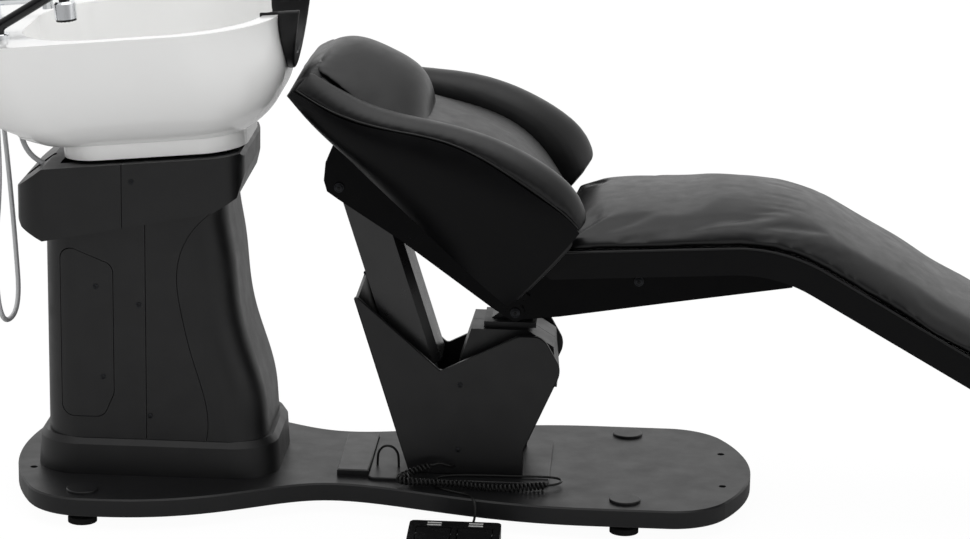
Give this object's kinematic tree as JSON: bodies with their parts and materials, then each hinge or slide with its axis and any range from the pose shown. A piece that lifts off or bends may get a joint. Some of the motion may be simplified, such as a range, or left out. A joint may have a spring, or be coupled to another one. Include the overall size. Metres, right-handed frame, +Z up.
{
  "type": "hair washing bed",
  "caption": "Reclining hair washing bed: tilting ceramic basin on a covered column, winged back, bent seat and leg pad, powered tilt on a waisted base plate, and a footswitch on a curly cord.",
  "frame": {"origin": "on the floor under the middle of the base plate, at the middle of the underside of its fifth foot", "axes": "+X from the basin towards the sitter's feet, +Y across the bed to the side away from the footswitch, +Z up"},
  "size_m": [2.177, 0.7207, 0.9813],
  "materials": {
    "black_coat": "satin black powder coat",
    "cover_plastic": "fine-grained charcoal plastic",
    "black_plastic": "smooth black plastic",
    "steel": "zinc-plated steel",
    "dark_steel": "blackened steel fasteners",
    "chrome": "polished chrome",
    "glaze": "white glaze",
    "rubber": "matt black rubber",
    "black_leather": "smooth black upholstery leather",
    "shell_plastic": "smooth black shell",
    "foam_rubber": "soft black moulded foam",
    "hose_metal": "flexible chromed metal sleeve",
    "cord_black": "black cord sheath",
    "strip_pale": "pale plain plastic",
    "board": "plain plywood",
    "drain_plastic": "dark grey pipe"
  },
  "bodies": {
    "base": {"base_plate": "black_coat", "plate_caps": "cover_plastic", "foot_pads": "rubber", "foot_studs": "steel", "mount_flange": "black_coat", "cable_box": "cover_plastic", "plinth": "cover_plastic", "column_rear_cover": "cover_plastic", "column_front_cover": "cover_plastic", "service_panel": "cover_plastic", "side_hatches": "cover_plastic", "collar_halves": "cover_plastic", "inner_frame": "black_coat", "stop_pad": "rubber", "waste_trap": "drain_plastic", "side_panels": "cover_plastic", "end_covers": "cover_plastic", "top_covers": "cover_plastic", "lift_frame": "black_coat", "frame_pins": "steel", "pivot_bracket": "black_coat", "case_screws": "dark_steel", "switch_base": "cover_plastic", "switch_housing": "black_plastic", "pedal_pins": "steel", "pedal_strips": "strip_pale", "control_leads": "cord_black", "cord_coil": "cord_black", "pedal_lead": "cord_black"},
    "bowl": {"bowl": "glaze", "bowl_bracket": "black_coat", "neck_rest": "foam_rubber", "drain_flange": "chrome", "tap_body": "chrome", "shower_holder": "chrome", "shower_hose": "hose_metal", "supply_pipe": "drain_plastic"},
    "strainer": {"drain_strainer": "chrome"},
    "tap_head": {"tap_dome": "chrome"},
    "tap_handle": {"tap_lever": "chrome"},
    "shower": {"hand_shower": "black_plastic", "spray_face": "black_plastic"},
    "drive": {"drive_tube": "steel"},
    "arm": {"drive_rod": "steel", "lift_arm": "black_coat"},
    "chair": {"back_beam": "black_coat", "seat_beam": "black_coat", "bed_pins": "dark_steel", "pivot_bushes": "steel", "seat_bolts": "dark_steel", "seat_pan": "cover_plastic", "seat_pad": "black_leather", "back_shell": "shell_plastic", "back_board": "board", "back_cushion": "black_leather", "near_bolster": "black_leather", "far_bolster": "black_leather", "head_pillow": "black_leather"},
    "up_pedal": {"up_pedal": "black_plastic"},
    "down_pedal": {"down_pedal": "black_plastic"}
  },
  "joints": [
    {"name": "chair_tilt", "type": "hinge", "parent": "base", "child": "chair", "pos_m": [0.247, 0, 0.378], "axis": [0, 1, 0], "range_deg": [0, 8]},
    {"name": "drive_tilt", "type": "hinge", "parent": "base", "child": "drive", "pos_m": [0.12, 0, 0.104], "axis": [0, 1, 0], "range_deg": [0, 5]},
    {"name": "lift_slide", "type": "slide", "parent": "drive", "child": "arm", "axis": [-0.309, 0, 0.9511], "range_m": [0, 0.031]},
    {"name": "bowl_tilt", "type": "hinge", "parent": "base", "child": "bowl", "pos_m": [-0.586, 0, 0.62], "axis": [0, -1, 0], "range_deg": [0, 5]},
    {"name": "strainer_lift", "type": "slide", "parent": "bowl", "child": "strainer", "axis": [-0.0958, 0, 0.9954], "range_m": [0, 0.1]},
    {"name": "tap_turn", "type": "hinge", "parent": "bowl", "child": "tap_head", "pos_m": [-0.76696, 0.07, 0.93631], "axis": [-0.0958, 0, 0.9954], "range_deg": [-50, 50]},
    {"name": "tap_lift", "type": "hinge", "parent": "tap_head", "child": "tap_handle", "pos_m": [-0.76823, 0.07, 0.94945], "axis": [0, 1, 0], "range_deg": [0, 25]},
    {"name": "shower_lift", "type": "slide", "parent": "bowl", "child": "shower", "axis": [-0.0958, 0, 0.9954], "range_m": [0, 0.2]},
    {"name": "up_pedal_press", "type": "hinge", "parent": "base", "child": "up_pedal", "pos_m": [0.117, -0.316, 0.023], "axis": [1, 0, 0], "range_deg": [0, 2.6], "stiffness_Nm_per_rad": 8, "springref_deg": -3.44},
    {"name": "down_pedal_press", "type": "hinge", "parent": "base", "child": "down_pedal", "pos_m": [0.193, -0.316, 0.023], "axis": [1, 0, 0], "range_deg": [0, 2.6], "stiffness_Nm_per_rad": 8, "springref_deg": -3.44}
  ],
  "couplings": [
    {"joint": "drive_tilt", "follows": "chair_tilt", "ratio": 0.58845},
    {"joint": "lift_slide", "follows": "chair_tilt", "m_per_rad": 0.21226}
  ]
}
